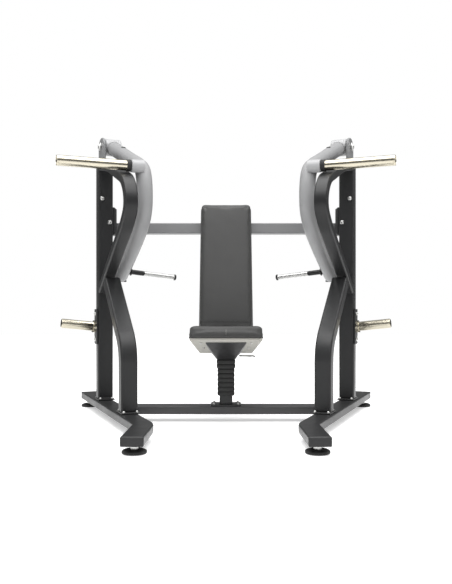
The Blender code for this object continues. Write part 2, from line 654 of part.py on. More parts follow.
pad_slab("back_cushion", 0.0, PAD_THICK, 0.0, PAD_LEN, PAD_W_LOW, PAD_W_TOP, M_VINYL, 0.012, 2)
pad_slab("back_board", PAD_THICK + GAP, 0.012, 0.012, PAD_LEN - 0.012, 0.266, 0.256,
         M_BOARD, 0.002, 1)
support = pad_slab("back_support", PAD_THICK + 0.012 + 2 * GAP, 0.050, 0.070, 0.640, 0.080, 0.080,
                   M_FRAME, 0.006, 1)
cut = block("support_notch", (0.3, BAR_T + 2 * GAP, BAR_H + 2 * GAP), None, None,
            (0, BAR_Y, BAR_Z), collection=CUTTERS)
boolean(support, cut)
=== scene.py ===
import bpy
import bmesh
import json
import math
import random
from mathutils import Matrix, Vector, noise
from mathutils.bvhtree import BVHTree


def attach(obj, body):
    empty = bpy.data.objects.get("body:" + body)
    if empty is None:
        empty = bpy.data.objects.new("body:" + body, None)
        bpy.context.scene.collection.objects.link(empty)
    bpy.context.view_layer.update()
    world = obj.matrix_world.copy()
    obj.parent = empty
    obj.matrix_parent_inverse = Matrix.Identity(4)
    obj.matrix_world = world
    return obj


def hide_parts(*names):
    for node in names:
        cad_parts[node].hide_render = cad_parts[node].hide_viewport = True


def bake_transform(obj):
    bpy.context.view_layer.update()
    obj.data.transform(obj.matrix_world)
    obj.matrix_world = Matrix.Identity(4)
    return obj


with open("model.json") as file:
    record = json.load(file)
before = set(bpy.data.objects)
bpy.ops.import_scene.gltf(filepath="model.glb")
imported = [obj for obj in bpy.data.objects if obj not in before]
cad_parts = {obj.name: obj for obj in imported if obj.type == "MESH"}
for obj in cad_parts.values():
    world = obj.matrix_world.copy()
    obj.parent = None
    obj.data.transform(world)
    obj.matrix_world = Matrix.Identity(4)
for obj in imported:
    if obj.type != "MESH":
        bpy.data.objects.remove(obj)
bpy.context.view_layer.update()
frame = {"nodes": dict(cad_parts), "record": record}
NODES = frame["nodes"]
SCENE = bpy.context.scene
random.seed(7)

# ------------------------------------------------ sizes repeated from the CAD
TOE = math.radians(22.4)
SIDE_X, SIDE_Y = 0.457, -0.1127
POST_S, TUBE_T, TUBE_W = 0.4965, 0.060, 0.080
PIVOT_S, PIVOT_Z, ARM_O, ARM_R = 0.690, 1.460, 0.086, 0.038
HORN_S, HORN_Z = 0.018, 1.234
STORE_Z = 0.464
BAR_Y, BAR_Z, BAR_T = 0.5123, 1.000, 0.080
LOW_Y = 0.1383
RAIL_TOP = 0.077
SEAT_TILT = math.radians(14.0)
SEAT_FRONT_Y, SEAT_FRONT_Z = -0.138, 0.487
SEAT_DEPTH, SEAT_THICK = 0.365, 0.058
PAD_RECLINE = math.radians(15.0)
PAD_FOOT_Y, PAD_FOOT_Z = 0.243, 0.440
PAD_LEN, PAD_THICK = 0.715, 0.055
PAD_W_LOW, PAD_W_TOP = 0.282, 0.272

# --------------------------------------------------- camera, lights and floor
cam_data = bpy.data.cameras.new("camera")
cam_data.sensor_width = 36.0
cam_data.sensor_fit = "AUTO"
cam_data.lens = 700.0 / 584.0 * 36.0
cam_data.shift_y = 10.0 / 584.0
cam = bpy.data.objects.new("camera", cam_data)
SCENE.collection.objects.link(cam)
cam.location = (0.0, -3.3777, 0.594)
cam.rotation_euler = (math.radians(90), 0.0, 0.0)
SCENE.camera = cam

world = SCENE.world or bpy.data.worlds.new("studio")
SCENE.world = world
world.use_nodes = True
wt = world.node_tree
wbg = wt.nodes.get("Background") or wt.nodes.new("ShaderNodeBackground")
wout = wt.nodes.get("World Output") or wt.nodes.new("ShaderNodeOutputWorld")
wcoord = wt.nodes.new("ShaderNodeTexCoord")
wsep = wt.nodes.new("ShaderNodeSeparateXYZ")
wramp = wt.nodes.new("ShaderNodeMapRange")
wramp.inputs["From Min"].default_value = 0.0
wramp.inputs["From Max"].default_value = 0.9
wramp.inputs["To Min"].default_value = 0.05
wramp.inputs["To Max"].default_value = 0.80
wpath = wt.nodes.new("ShaderNodeLightPath")
wmix = wt.nodes.new("ShaderNodeMix")
wmix.data_type = "FLOAT"
wmix.inputs["B"].default_value = 1.0
wt.links.new(wcoord.outputs["Generated"], wsep.inputs["Vector"])
wt.links.new(wsep.outputs["Z"], wramp.inputs["Value"])
wt.links.new(wramp.outputs["Result"], wmix.inputs["A"])
wt.links.new(wpath.outputs["Is Camera Ray"], wmix.inputs["Factor"])
wt.links.new(wmix.outputs["Result"], wbg.inputs["Strength"])
wbg.inputs["Color"].default_value = (1.0, 1.0, 1.0, 1.0)
wt.links.new(wbg.outputs["Background"], wout.inputs["Surface"])
SCENE.view_settings.view_transform = "Standard"


def area(name, loc, aim, size, power, size_y=None):
    d = bpy.data.lights.new(name, "AREA")
    d.energy = power
    d.shape = "RECTANGLE"
    d.size = size
    d.size_y = size_y or size
    o = bpy.data.objects.new(name, d)
    SCENE.collection.objects.link(o)
    o.location = loc
    direction = Vector(aim) - Vector(loc)
    o.rotation_euler = direction.to_track_quat("-Z", "Y").to_euler()
    return o


area("top_softbox", (0.0, -0.6, 3.4), (0.0, 0.0, 0.6), 3.4, 105.0, 3.0)
area("front_fill", (0.0, -4.8, 3.0), (0.0, 0.0, 0.7), 3.2, 14.0, 1.2)
area("left_strip", (-3.4, 0.2, 2.2), (-0.5, 0.1, 0.9), 0.7, 14.0, 2.2)
area("right_strip", (3.4, 0.2, 2.2), (0.5, 0.1, 0.9), 0.7, 14.0, 2.2)
sun = bpy.data.lights.new("overhead", "SUN")
sun.energy = 1.5
sun.angle = math.radians(70)
sun_obj = bpy.data.objects.new("overhead", sun)
SCENE.collection.objects.link(sun_obj)
sun_obj.rotation_euler = (math.radians(18), 0.0, 0.0)


# ------------------------------------------------------------------ materials
def principled(name, colour, rough, metal=0.0, spec=0.5, coat=0.0, coat_rough=0.1,
               sheen=0.0):
    mat = bpy.data.materials.new(name)
    mat.use_nodes = True
    nt = mat.node_tree
    bsdf = nt.nodes["Principled BSDF"]
    bsdf.inputs["Base Color"].default_value = (*colour, 1.0)
    bsdf.inputs["Roughness"].default_value = rough
    bsdf.inputs["Metallic"].default_value = metal
    bsdf.inputs["Specular IOR Level"].default_value = spec
    bsdf.inputs["Coat Weight"].default_value = coat
    bsdf.inputs["Coat Roughness"].default_value = coat_rough
    bsdf.inputs["Sheen Weight"].default_value = sheen
    return mat, nt, bsdf


def tex_noise(nt, scale, detail=3.0, rough=0.55, stretch=None):
    tc = nt.nodes.new("ShaderNodeTexCoord")
    n = nt.nodes.new("ShaderNodeTexNoise")
    n.inputs["Scale"].default_value = scale
    n.inputs["Detail"].default_value = detail
    n.inputs["Roughness"].default_value = rough
    if stretch:
        mp = nt.nodes.new("ShaderNodeMapping")
        mp.inputs["Scale"].default_value = stretch
        nt.links.new(tc.outputs["Object"], mp.inputs["Vector"])
        nt.links.new(mp.outputs["Vector"], n.inputs["Vector"])
    else:
        nt.links.new(tc.outputs["Object"], n.inputs["Vector"])
    return n


def ramp(nt, src, lo, hi, a, b):
    r = nt.nodes.new("ShaderNodeMapRange")
    r.inputs["From Min"].default_value = lo
    r.inputs["From Max"].default_value = hi
    r.inputs["To Min"].default_value = a
    r.inputs["To Max"].default_value = b
    nt.links.new(src, r.inputs["Value"])
    return r.outputs["Result"]


def colour_mix(nt, fac, a, b):
    r = nt.nodes.new("ShaderNodeValToRGB")
    r.color_ramp.elements[0].color = (*a, 1.0)
    r.color_ramp.elements[1].color = (*b, 1.0)
    nt.links.new(fac, r.inputs["Fac"])
    return r.outputs["Color"]


def bump(nt, bsdf, height, strength, distance, under=None):
    b = nt.nodes.new("ShaderNodeBump")
    b.inputs["Strength"].default_value = strength
    b.inputs["Distance"].default_value = distance
    nt.links.new(height, b.inputs["Height"])
    if under is not None:
        nt.links.new(under, b.inputs["Normal"])
    nt.links.new(b.outputs["Normal"], bsdf.inputs["Normal"])
    return b.outputs["Normal"]


def powder_coat(name, colour, rough, metal=0.0, fleck=0.0):
    """Textured powder coat: fine orange peel, faint cloudiness, lighter worn edges."""
    mat, nt, bsdf = principled(name, colour, rough, metal, 0.28)
    cloud = tex_noise(nt, 5.0, 3.0)
    fine = tex_noise(nt, 900.0, 2.0)
    peel = tex_noise(nt, 260.0, 2.0)
    nt.links.new(ramp(nt, cloud.outputs["Fac"], 0.3, 0.7, rough - 0.05, rough + 0.06),
                 bsdf.inputs["Roughness"])
    geo = nt.nodes.new("ShaderNodeNewGeometry")
    worn = ramp(nt, geo.outputs["Pointiness"], 0.505, 0.56, 0.0, 0.55)
    base = colour_mix(nt, fine.outputs["Fac"], tuple(c * (0.86 - fleck) for c in colour),
                      tuple(c * (1.14 + fleck) for c in colour))
    mix = nt.nodes.new("ShaderNodeMix")
    mix.data_type = "RGBA"
    nt.links.new(worn, mix.inputs["Factor"])
    nt.links.new(base, mix.inputs["A"])
    mix.inputs["B"].default_value = (*[min(c * 1.9 + 0.012, 1.0) for c in colour], 1.0)
    nt.links.new(mix.outputs["Result"], bsdf.inputs["Base Color"])
    n1 = bump(nt, bsdf, peel.outputs["Fac"], 0.22, 0.0006)
    bump(nt, bsdf, fine.outputs["Fac"], 0.14, 0.0003, n1)
    return mat


def chrome_like(name, colour, rough, scale=(6.0, 6.0, 6.0)):
    """Polished metal with faint turning lines, handling marks and smudges."""
    mat, nt, bsdf = principled(name, colour, rough, 1.0)
    smudge = tex_noise(nt, 14.0, 4.0, 0.6)
    marks = tex_noise(nt, 60.0, 3.0, 0.6, (40.0, 1.5, 1.5))
    nt.links.new(ramp(nt, smudge.outputs["Fac"], 0.35, 0.72, rough, rough + 0.13),
                 bsdf.inputs["Roughness"])
    nt.links.new(colour_mix(nt, smudge.outputs["Fac"], tuple(c * 0.95 for c in colour), colour),
                 bsdf.inputs["Base Color"])
    bump(nt, bsdf, marks.outputs["Fac"], 0.06, 0.0002)
    return mat


def rubber(name, colour, rough):
    mat, nt, bsdf = principled(name, colour, rough, 0.0, 0.35)
    grain = tex_noise(nt, 420.0, 3.0)
    dust = tex_noise(nt, 22.0, 4.0)
    nt.links.new(ramp(nt, dust.outputs["Fac"], 0.3, 0.75, rough - 0.08, rough + 0.1),
                 bsdf.inputs["Roughness"])
    nt.links.new(colour_mix(nt, dust.outputs["Fac"], colour, tuple(c * 1.7 + 0.004 for c in colour)),
                 bsdf.inputs["Base Color"])
    bump(nt, bsdf, grain.outputs["Fac"], 0.25, 0.0004)
    return mat


def vinyl(name, colour):
    """Upholstery vinyl: pebbled leather grain, soft creases, cloudy sheen."""
    mat, nt, bsdf = principled(name, colour, 0.5, 0.0, 0.35, 0.0, 0.2, 0.05)
    tc = nt.nodes.new("ShaderNodeTexCoord")
    cells = nt.nodes.new("ShaderNodeTexVoronoi")
    cells.feature = "DISTANCE_TO_EDGE"
    cells.inputs["Scale"].default_value = 420.0
    nt.links.new(tc.outputs["Object"], cells.inputs["Vector"])
    pores = tex_noise(nt, 1300.0, 2.0)
    cloud = tex_noise(nt, 7.0, 4.0)
    grain = ramp(nt, cells.outputs["Distance"], 0.0, 0.35, 0.0, 1.0)
    nt.links.new(colour_mix(nt, grain, tuple(c * 0.62 for c in colour), colour),
                 bsdf.inputs["Base Color"])
    nt.links.new(ramp(nt, cloud.outputs["Fac"], 0.3, 0.7, 0.44, 0.58), bsdf.inputs["Roughness"])
    n1 = bump(nt, bsdf, grain, 0.35, 0.0006)
    bump(nt, bsdf, pores.outputs["Fac"], 0.15, 0.0003, n1)
    return mat


def board(name, colour):
    mat, nt, bsdf = principled(name, colour, 0.65, 0.0, 0.4)
    weave = tex_noise(nt, 180.0, 3.0, 0.6, (1.0, 6.0, 1.0))
    cloud = tex_noise(nt, 9.0, 3.0)
    nt.links.new(colour_mix(nt, weave.outputs["Fac"], tuple(c * 0.8 for c in colour),
                            tuple(c * 1.1 for c in colour)), bsdf.inputs["Base Color"])
    nt.links.new(ramp(nt, cloud.outputs["Fac"], 0.3, 0.7, 0.58, 0.74), bsdf.inputs["Roughness"])
    bump(nt, bsdf, weave.outputs["Fac"], 0.2, 0.0004)
    return mat


M = {
    "frame_black": powder_coat("frame_black_powder", (0.0100, 0.0102, 0.0106), 0.36),
    "arm_graphite": powder_coat("arm_graphite_powder", (0.230, 0.231, 0.234), 0.34, 0.0, 0.05),
    "bar_grey": powder_coat("crossbar_grey_powder", (0.120, 0.121, 0.123), 0.44, 0.0, 0.05),
    "low_grey": powder_coat("base_grey_powder", (0.030, 0.030, 0.031), 0.40, 0.1, 0.05),
    "chrome": chrome_like("horn_chrome", (0.50, 0.465, 0.375), 0.14),
    "steel": chrome_like("bright_zinc", (0.52, 0.52, 0.51), 0.24),
    "rubber": rubber("black_rubber", (0.012, 0.012, 0.012), 0.62),
    "plastic": rubber("moulded_black_plastic", (0.010, 0.010, 0.0105), 0.42),
    "vinyl": vinyl("charcoal_vinyl", (0.046, 0.046, 0.045)),
    # a darker copy of the same vinyl: painted shade, used for the seam lines and the welt along the cushions'
    # base
    "vinyl_shaded": vinyl("charcoal_vinyl_painted_shade", (0.034, 0.034, 0.033)),
    "board": board("grey_backing_board", (0.36, 0.352, 0.32)),
    "bronze": chrome_like("bronze_bush", (0.55, 0.36, 0.16), 0.28),
    "thread": rubber("seam_thread", (0.110, 0.110, 0.104), 0.7),
}

NODE_BODY = {}
for body, members in frame["record"]["behaviour"]["bodies"].items():
    for n in members:
        NODE_BODY[n] = body
NODE_SLOT = {s["node"]: s["material_slot"] for s in frame["record"]["subparts"]}


# -------------------------------------------------------------------- helpers
def add(name, bm, mat, body, smooth=35, weighted=True):
    mesh = bpy.data.meshes.new(name)
    bm.to_mesh(mesh)
    bm.free()
    obj = bpy.data.objects.new(name, mesh)
    SCENE.collection.objects.link(obj)
    mesh.materials.append(mat)
    mesh.shade_smooth()
    if smooth:
        mesh.set_sharp_from_angle(angle=math.radians(smooth))
    if weighted:
        wn = obj.modifiers.new("weighted", "WEIGHTED_NORMAL")
        wn.keep_sharp = True
        wn.weight = 80
    if body:
        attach(obj, body)
    return obj


def so(hand, s, o, z):
    """World point of a side frame's s, o, z."""
    m = 1 if hand == "right" else -1
    return Vector((m * (SIDE_X + s * math.sin(TOE) - o * math.cos(TOE)),
                   SIDE_Y + s * math.cos(TOE) + o * math.sin(TOE), z))


def sdir(hand, s, o, z):
    m = 1 if hand == "right" else -1
    return Vector((m * (s * math.sin(TOE) - o * math.cos(TOE)),
                   s * math.cos(TOE) + o * math.sin(TOE), z)).normalized()


def lathe(bm, profile, centre, axis, steps=48):
    """Adds a turned form: (radius, height) points from one end to the other."""
    quat = Vector((0, 0, 1)).rotation_difference(Vector(axis).normalized())
    rings = []
    for r, h in profile:
        if r < 1e-7:
            rings.append([bm.verts.new(Vector(centre) + quat @ Vector((0, 0, h)))])
        else:
            rings.append([bm.verts.new(Vector(centre) + quat @ Vector(
                (r * math.cos(2 * math.pi * k / steps), r * math.sin(2 * math.pi * k / steps), h)))
                for k in range(steps)])
    for a, b in zip(rings, rings[1:]):
        for k in range(steps):
            j = (k + 1) % steps
            if len(a) == 1 and len(b) == 1:
                continue
            if len(a) == 1:
                bm.faces.new((a[0], b[k], b[j]))
            elif len(b) == 1:
                bm.faces.new((a[k], a[j], b[0]))
            else:
                bm.faces.new((a[k], a[j], b[j], b[k]))
    bmesh.ops.recalc_face_normals(bm, faces=bm.faces[:])


def turned(name, profile, centre, axis, mat, body, steps=48, smooth=35):
    bm = bmesh.new()
    lathe(bm, profile, centre, axis, steps)
    return add(name, bm, mat, body, smooth)


def catmull(points, per):
    out = []
    n = len(points)
    for i in range(n - 1):
        p0, p1 = points[max(i - 1, 0)], points[i]
        p2, p3 = points[i + 1], points[min(i + 2, n - 1)]
        for k in range(per):
            t = k / per
            out.append(0.5 * (2 * p1 + (p2 - p0) * t + (2 * p0 - 5 * p1 + 4 * p2 - p3) * t * t
                              + (3 * p1 - p0 - 3 * p2 + p3) * t ** 3))
    out.append(points[-1])
    return out


def sweep(bm, path, section, side):
    """Sweeps a closed section [(a, b)] along a flat path; side is the flat's normal."""
    rings = []
    n = len(path)
    for i, p in enumerate(path):
        t = (path[min(i + 1, n - 1)] - path[max(i - 1, 0)]).normalized()
        up = side.cross(t).normalized()
        rings.append([bm.verts.new(p + side * a + up * b) for a, b in section])
    k = len(section)
    for r0, r1 in zip(rings, rings[1:]):
        for j in range(k):
            bm.faces.new((r0[j], r0[(j + 1) % k], r1[(j + 1) % k], r1[j]))
    bm.faces.new(rings[0])
    bm.faces.new(rings[-1][::-1])
    bmesh.ops.recalc_face_normals(bm, faces=bm.faces[:])


def refined(node, mat, smooth=38, name=None, bevel=0.0):
    """A finer stand-in for a CAD node: welded, cleaned and smoothly shaded."""
    bm = bmesh.new()
    bm.from_mesh(NODES[node].data)
    bmesh.ops.remove_doubles(bm, verts=bm.verts[:], dist=0.00002)
    bmesh.ops.dissolve_limit(bm, angle_limit=math.radians(0.6), verts=bm.verts[:],
                             edges=bm.edges[:])
    bmesh.ops.recalc_face_normals(bm, faces=bm.faces[:])
    obj = add(name or (node + "_finish"), bm, mat, NODE_BODY[node], smooth)
    if bevel:
        mod = obj.modifiers.new("soft_edge", "BEVEL")
        mod.width = bevel
        mod.segments = 2
        mod.limit_method = "ANGLE"
        mod.angle_limit = math.radians(50)
        obj.modifiers.move(len(obj.modifiers) - 1, 0)
    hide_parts(node)
    return obj


done = set()


def finish_node(node, key, **kw):
    done.add(node)
    return refined(node, M[key], **kw)


# ------------------------------------------------------------------- cushions
def cushion(name, matrix, corners, thick, body, replaced, crown, dark_side=True):
    """A foam pad under vinyl: a tapered slab, blown out a little by cloth pressure,
    flat where it lies on its board.  corners are (x, y) of the plan, back to back."""
    bm = bmesh.new()
    low = [bm.verts.new((x, y, 0.0)) for x, y in corners]
    top = [bm.verts.new((x, y, thick)) for x, y in corners]
    bm.faces.new(low[::-1])
    bm.faces.new(top)
    for i in range(4):
        j = (i + 1) % 4
        bm.faces.new((low[i], low[j], top[j], top[i]))
    bmesh.ops.recalc_face_normals(bm, faces=bm.faces[:])
    bmesh.ops.bevel(bm, geom=[e for e in bm.edges if abs(e.verts[0].co.z - e.verts[1].co.z) > 0.01],
                    offset=0.022, segments=4, profile=0.5, affect="EDGES")
    bmesh.ops.bevel(bm, geom=[e for e in bm.edges
                              if e.verts[0].co.z > thick - 1e-5 and e.verts[1].co.z > thick - 1e-5
                              and len(e.link_faces) == 2
                              and abs(e.link_faces[0].normal.z - e.link_faces[1].normal.z) > 0.5],
                    offset=0.011, segments=3, profile=0.5, affect="EDGES")
    mesh = bpy.data.meshes.new(name)
    bm.to_mesh(mesh)
    bm.free()
    obj = bpy.data.objects.new(name, mesh)
    SCENE.collection.objects.link(obj)
    bpy.context.view_layer.objects.active = obj
    rm = obj.modifiers.new("voxels", "REMESH")
    rm.mode = "VOXEL"
    rm.voxel_size = 0.0065
    rm.use_smooth_shade = True
    dg = bpy.context.evaluated_depsgraph_get()
    fresh = bpy.data.meshes.new_from_object(obj.evaluated_get(dg))
    obj.modifiers.clear()
    obj.data = fresh
    start = [v.co.copy() for v in fresh.vertices]
    pin = obj.vertex_groups.new(name="pin")
    pin.add([v.index for v in fresh.vertices if v.co.z < 0.010], 1.0, "REPLACE")
    cl = obj.modifiers.new("cloth", "CLOTH")
    cl.settings.use_pressure = True
    cl.settings.uniform_pressure_force = 4.0
    cl.settings.quality = 4
    cl.settings.mass = 0.4
    cl.settings.tension_stiffness = 25
    cl.settings.compression_stiffness = 25
    cl.settings.bending_stiffness = 3.0
    cl.settings.effector_weights.gravity = 0.0
    cl.settings.vertex_group_mass = "pin"
    cl.point_cache.frame_start = 1
    cl.point_cache.frame_end = 14
    for f in range(1, 15):
        SCENE.frame_set(f)
    dg = bpy.context.evaluated_depsgraph_get()
    blown = bpy.data.meshes.new_from_object(obj.evaluated_get(dg))
    obj.modifiers.clear()
    obj.data = blown
    SCENE.frame_set(1)
    mesh = obj.data
    xs = [c[0] for c in corners]
    ys = [c[1] for c in corners]
    cy0, cy1 = min(ys), max(ys)
    for v, s in zip(mesh.vertices, start):
        move = v.co - s
        if move.length > 0.0035:
            move = move.normalized() * 0.0035
        p = s + move
        # crown of the face, fading to the sides
        half = abs(corners[0][0]) + (abs(corners[2][0]) - abs(corners[0][0])) * (s.y - cy0) / (cy1 - cy0)
        u = min(abs(s.x) / half, 1.0)
        w = abs((s.y - (cy0 + cy1) / 2) / ((cy1 - cy0) / 2))
        if s.z > thick * 0.5:
            p.z += crown * (1 - u ** 4) * (1 - min(w, 1.0) ** 6)
        if s.z < 0.004:
            p = s.copy()
        # faint unevenness of stretched vinyl
        p.z += 0.0005 * noise.noise(Vector((s.x * 22, s.y * 16, s.z * 22))) * (1 if s.z > 0.01 else 0)
        v.co = p
    mesh.transform(matrix)
    mesh.update()
    mesh.materials.clear()
    mesh.materials.append(M["vinyl"])
    mesh.shade_smooth()
    sub = obj.modifiers.new("soft", "SUBSURF")
    sub.levels = 1
    sub.render_levels = 1
    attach(obj, body)
    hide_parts(replaced)
    done.add(replaced)
    return obj


ct, st = math.cos(SEAT_TILT), math.sin(SEAT_TILT)
cr, sr = math.cos(PAD_RECLINE), math.sin(PAD_RECLINE)
# seat axes: x across, y back along the seat, z up out of it; origin on its underside
seat_m = Matrix(((1, 0, 0, 0),
                 (0, ct, st, SEAT_FRONT_Y - SEAT_THICK * st),
                 (0, -st, ct, SEAT_FRONT_Z - SEAT_THICK * ct),
                 (0, 0, 0, 1)))
# pad axes: x across, y up the pad, z out of its front face (towards -Y); origin at its back
pad_m = Matrix(((1, 0, 0, 0),
                (0, sr, -cr, PAD_FOOT_Y + PAD_THICK * cr),
                (0, cr, sr, PAD_FOOT_Z - PAD_THICK * sr),
                (0, 0, 0, 1)))


def flip(m4):
    return m4 @ Matrix.Diagonal((-1, 1, 1, 1))


IN = 0.0005
seat_c = [(-0.174 + IN, IN), (0.174 - IN, IN), (0.1425 - IN, SEAT_DEPTH - IN), (-0.1425 + IN, SEAT_DEPTH - IN)]
pad_c = [(-0.141 + IN, IN), (0.141 - IN, IN), (0.136 - IN, PAD_LEN - IN), (-0.136 + IN, PAD_LEN - IN)]
seat_cushion = cushion("seat_upholstery", seat_m, seat_c, SEAT_THICK - 0.004, "seat", "seat_cushion", 0.004)
back_cushion = cushion("back_upholstery", pad_m, pad_c, PAD_THICK - 0.004, "frame", "back_cushion", 0.004)


def piping(name, matrix, corners, z, radius, body, grow=0.0):
    """A welt cord sewn round a cushion, following its rounded corners."""
    pts = []
    n = len(corners)
    for i in range(n):
        a, b, c = (Vector((*corners[i - 1], 0)), Vector((*corners[i], 0)),
                   Vector((*corners[(i + 1) % n], 0)))
        p = b + (a - b).normalized() * 0.024
        q = b + (c - b).normalized() * 0.024
        for k in range(7):
            t = k / 6
            pts.append(p * (1 - t) ** 2 + b * 2 * t * (1 - t) + q * t * t)
    centre = sum(pts, Vector()) / len(pts)
    bm = bmesh.new()
    rings = []
    m = len(pts)
    for i, p in enumerate(pts):
        t = (pts[(i + 1) % m] - pts[i - 1]).normalized()
        out = Vector((t.y, -t.x, 0))
        if out.dot(p - centre) < 0:
            out = -out
        base = p + out * grow + Vector((0, 0, z))
        rings.append([bm.verts.new(matrix @ (base + out * radius * math.cos(a)
                                             + Vector((0, 0, 1)) * radius * math.sin(a)))
                      for a in [2 * math.pi * k / 10 for k in range(10)]])
    for i in range(m):
        r0, r1 = rings[i], rings[(i + 1) % m]
        for j in range(10):
            bm.faces.new((r0[j], r0[(j + 1) % 10], r1[(j + 1) % 10], r1[j]))
    bmesh.ops.recalc_face_normals(bm, faces=bm.faces[:])
    # the welt is drawn in the darker vinyl copy: painted shade along the cushion's base
    return add(name, bm, M["vinyl_shaded"], body, None, False)


for tag, mat4, cc, thick, body in (("seat", seat_m, seat_c, SEAT_THICK, "seat"),
                                   ("back", pad_m, pad_c, PAD_THICK, "frame")):
    piping(tag + "_welt_rear", mat4, cc, 0.0045, 0.0024, body, -0.0006)



def stitched(name, cushion_obj, mat4, pts, direction, radius, body, thread):
    """A sewn line laid on the vinyl: each point drops along direction onto the cushion."""
    me = cushion_obj.data
    tree = BVHTree.FromPolygons([v.co for v in me.vertices], [tuple(p.vertices) for p in me.polygons])
    rot = mat4.to_3x3()
    path = []
    for p, d in zip(pts, direction):
        hit = tree.ray_cast(mat4 @ Vector(p), (rot @ Vector(d)).normalized())
        if hit[0] is not None:
            path.append(hit[0] - (rot @ Vector(d)).normalized() * 0.0002)
    bm = bmesh.new()
    rings = []
    for i, p in enumerate(path):
        t = (path[min(i + 1, len(path) - 1)] - path[max(i - 1, 0)]).normalized()
        side = t.cross((rot @ Vector(direction[0])).normalized() + Vector((0.013, 0.017, 0.011))).normalized()
        up = side.cross(t).normalized()
        r = radius * (1.0 + 0.25 * math.cos(i * math.pi))
        rings.append([bm.verts.new(p + side * r * math.cos(a) + up * r * math.sin(a))
                      for a in [2 * math.pi * k / 8 for k in range(8)]])
    for r0, r1 in zip(rings, rings[1:]):
        for j in range(8):
            bm.faces.new((r0[j], r0[(j + 1) % 8], r1[(j + 1) % 8], r1[j]))
    bm.faces.new(rings[0])
    bm.faces.new(rings[-1][::-1])
    bmesh.ops.recalc_face_normals(bm, faces=bm.faces[:])
    return add(name, bm, thread, body, None, False)


# the back seams and the seat's top seam are drawn in the darker vinyl copy: painted shade lines in the seams
for tag, y in (("low", 0.052), ("low_twin", 0.058)):
    xs = [-0.134 + 0.268 * k / 90 for k in range(91)]
    stitched("back_seam_" + tag, back_cushion, pad_m, [(x, y, 0.12) for x in xs],
             [(0, 0, -1)] * 91, 0.0010, "frame", M["vinyl_shaded"])
zs = [0.012 + (SEAT_THICK - 0.030) * k / 16 for k in range(17)]
stitched("seat_seam_front", seat_cushion, seat_m, [(0.0, -0.06, z) for z in zs],
         [(0, 1, 0)] * 17, 0.0015, "seat", M["thread"])
ys = [0.020 + (SEAT_DEPTH - 0.040) * k / 100 for k in range(101)]
stitched("seat_seam_top", seat_cushion, seat_m, [(0.0, y, 0.12) for y in ys],
         [(0, 0, -1)] * 101, 0.0010, "seat", M["vinyl_shaded"])

# -------------------------------------------------------------- the press arms
ARM_CORNERS = [(PIVOT_S - 0.010, PIVOT_Z - 0.004), (0.560, 1.415),
               (0.460, 1.380), (0.335, 1.334), (0.235, 1.298), (0.140, 1.264),
               (0.056, 1.222), (0.022, 1.140), (0.026, 1.040), (0.074, 0.970),
               (0.155, 0.914), (0.250, 0.860), (0.370, 0.797), (0.484, 0.737)]
BOW_CORNERS = [(0.4660, 0.6567), (0.330, 0.7440), (0.200, 0.8240),
               (0.070, 0.9030), (-0.020, 0.9610), (-0.078, 1.0250),
               (-0.074, 1.0950), (-0.018, 1.1600), (0.090, 1.2030),
               (0.280, 1.2700), (0.4660, 1.3084)]


def box_section(w, t, r, seg=4):
    """A rounded rectangle: w across, t through, corner radius r."""
    pts = []
    for cx, cy, a0 in ((w / 2 - r, t / 2 - r, 0), (-w / 2 + r, t / 2 - r, 90),
                       (-w / 2 + r, -t / 2 + r, 180), (w / 2 - r, -t / 2 + r, 270)):
        for k in range(seg + 1):
            a = math.radians(a0 + 90 * k / seg)
            pts.append((cx + r * math.cos(a), cy + r * math.sin(a)))
    return pts


def weld_ring(name, centre, axis, radius, body, mat, bead=0.0034, steps=40):
    """A fillet weld round a round joint, with the ripples of its passes."""
    quat = Vector((0, 0, 1)).rotation_difference(Vector(axis).normalized())
    bm = bmesh.new()
    rings = []
    n = steps * 3
    for i in range(n):
        a = 2 * math.pi * i / n
        rr = bead * (1.0 + 0.16 * math.cos(i * 2 * math.pi / 3))
        c = Vector((math.cos(a), math.sin(a), 0))
        rings.append([bm.verts.new(Vector(centre) + quat @ (c * (radius + rr * math.cos(b))
                      + Vector((0, 0, rr * math.sin(b)))))
                      for b in [2 * math.pi * k / 8 for k in range(8)]])
    for i in range(n):
        r0, r1 = rings[i], rings[(i + 1) % n]
        for j in range(8):
            bm.faces.new((r0[j], r0[(j + 1) % 8], r1[(j + 1) % 8], r1[j]))
    bmesh.ops.recalc_face_normals(bm, faces=bm.faces[:])
    return add(name, bm, mat, body, None, False)


def bolt(name, centre, axis, body, r=0.0085, h=0.0065, washer=0.0125):
    """A dome-head socket bolt on a washer."""
    prof = [(0.0, 0.0), (washer, 0.0), (washer, 0.0014), (washer - 0.0006, 0.0019),
            (r * 1.02, 0.0019), (r * 1.02, 0.0026), (r * 0.96, 0.0019 + h * 0.35),
            (r * 0.78, 0.0019 + h * 0.72), (r * 0.52, 0.0019 + h * 0.95),
            (r * 0.42, 0.0019 + h), (r * 0.40, 0.0019 + h), (r * 0.38, 0.0019 + h * 0.35),
            (0.0, 0.0019 + h * 0.30)]
    return turned(name, prof, centre, axis, M["steel"], body, 24, 40)


